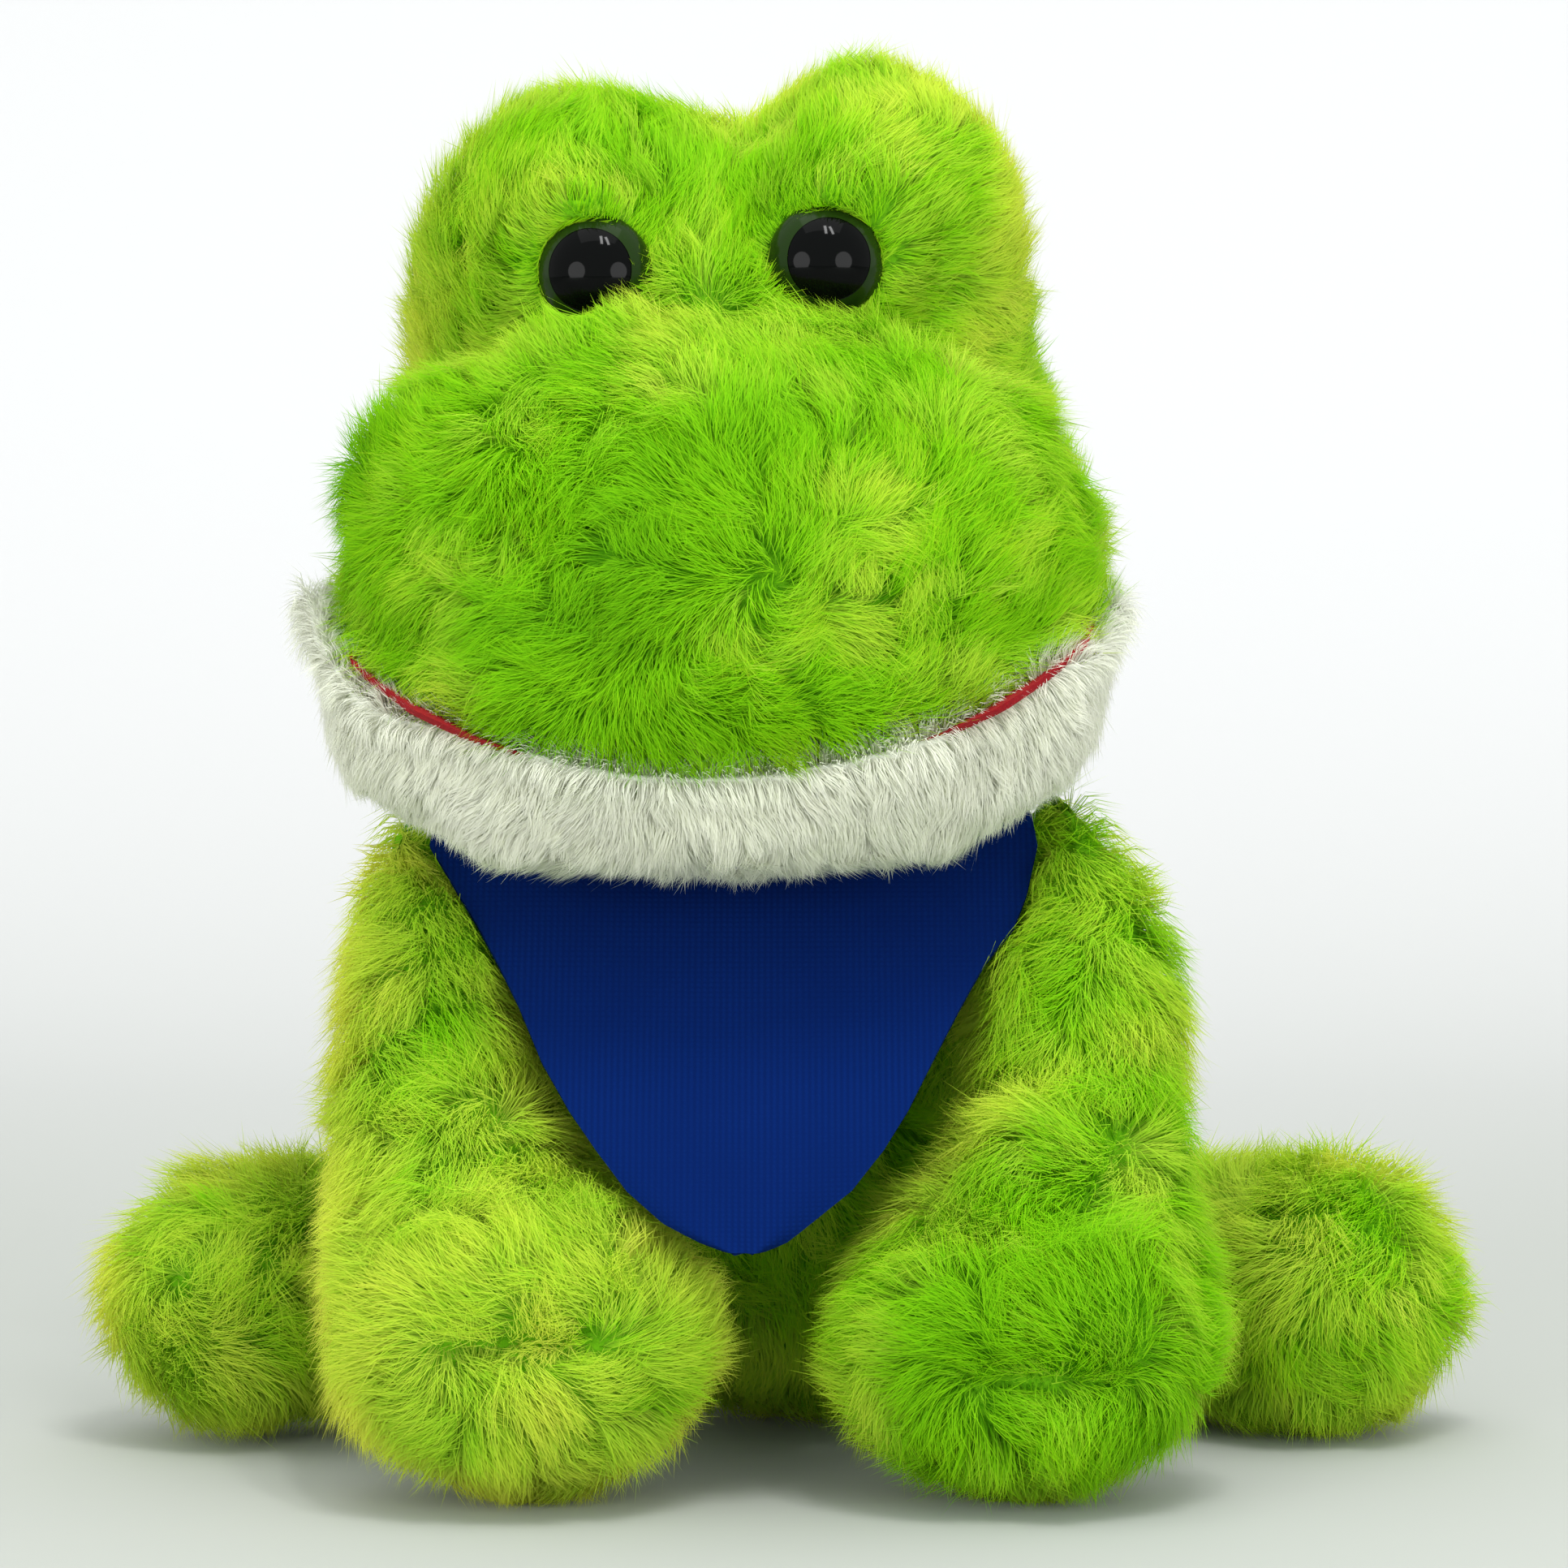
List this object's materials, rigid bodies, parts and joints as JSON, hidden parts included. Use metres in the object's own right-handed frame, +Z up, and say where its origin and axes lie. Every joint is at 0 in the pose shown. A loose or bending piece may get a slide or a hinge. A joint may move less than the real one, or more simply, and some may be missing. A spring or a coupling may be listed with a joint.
{
  "type": "plush frog",
  "caption": "Seated plush frog with long pile, domed eyes, a wide muzzle over a pale chin and a plain cloth bib.",
  "frame": {"origin": "on the floor, in the flat under the torso that the toy sits on", "axes": "+Z up, the frog looks along -Y, its own left is at +X"},
  "size_m": [0.2504, 0.1582, 0.2501],
  "materials": {
    "green_plush": "long soft pile",
    "white_plush": "short soft pile",
    "red_felt": "felt",
    "navy_knit": "fine knit",
    "black_plastic": "polished",
    "green_plastic": "polished",
    "white_plastic": "moulded",
    "fibre_fill": "loose fibre",
    "pouch_cloth": "plain weave"
  },
  "bodies": {
    "torso": {"torso_skin": "green_plush", "torso_filling": "fibre_fill", "pellet_pouch": "pouch_cloth", "bib_yoke": "navy_knit", "neck_band": "navy_knit"},
    "neck": {"neck_seam": "green_plush"},
    "head": {"head_skin": "green_plush", "head_filling": "fibre_fill", "muzzle_skin": "green_plush", "muzzle_filling": "fibre_fill", "mouth_roof": "red_felt", "eye_iris_left": "green_plastic", "eye_iris_right": "green_plastic", "eye_pupil_left": "black_plastic", "eye_pupil_right": "black_plastic", "eye_washer_left": "white_plastic", "eye_washer_right": "white_plastic"},
    "jaw": {"chin_skin": "white_plush", "chin_filling": "fibre_fill", "mouth_floor": "red_felt"},
    "flap": {"bib_flap": "navy_knit"},
    "arm_left": {"arm_skin_left": "green_plush", "arm_filling_left": "fibre_fill"},
    "arm_right": {"arm_skin_right": "green_plush", "arm_filling_right": "fibre_fill"},
    "leg_left": {"leg_skin_left": "green_plush", "leg_filling_left": "fibre_fill"},
    "leg_right": {"leg_skin_right": "green_plush", "leg_filling_right": "fibre_fill"}
  },
  "joints": [
    {"name": "head_turn", "type": "hinge", "parent": "torso", "child": "neck", "pos_m": [-0.01, -0.014, 0.152], "axis": [0, 0, 1], "range_deg": [-10, 10], "stiffness_Nm_per_rad": 1.5},
    {"name": "head_nod", "type": "hinge", "parent": "neck", "child": "head", "pos_m": [-0.01, -0.014, 0.152], "axis": [-1, 0, 0], "range_deg": [-1.5, 12], "stiffness_Nm_per_rad": 3},
    {"name": "jaw_open", "type": "hinge", "parent": "head", "child": "jaw", "pos_m": [-0.01, -0.032, 0.157], "axis": [0.999, 0, 0.0454], "range_deg": [0, 5], "stiffness_Nm_per_rad": 1},
    {"name": "bib_lift", "type": "hinge", "parent": "torso", "child": "flap", "pos_m": [-0.007, -0.075, 0.092], "axis": [-1, 0, 0], "range_deg": [0, 30]},
    {"name": "arm_left_spread", "type": "hinge", "parent": "torso", "child": "arm_left", "pos_m": [0.046, -0.046, 0.101], "axis": [0, -1, 0], "range_deg": [0, 15], "stiffness_Nm_per_rad": 1},
    {"name": "arm_right_spread", "type": "hinge", "parent": "torso", "child": "arm_right", "pos_m": [-0.055, -0.046, 0.101], "axis": [0, 1, 0], "range_deg": [0, 15], "stiffness_Nm_per_rad": 1},
    {"name": "leg_left_lift", "type": "hinge", "parent": "torso", "child": "leg_left", "pos_m": [0.045, 0.016, 0.028], "axis": [-1, 0, 0], "range_deg": [0, 30], "stiffness_Nm_per_rad": 1},
    {"name": "leg_right_lift", "type": "hinge", "parent": "torso", "child": "leg_right", "pos_m": [-0.045, 0.016, 0.028], "axis": [-1, 0, 0], "range_deg": [0, 30], "stiffness_Nm_per_rad": 1}
  ]
}
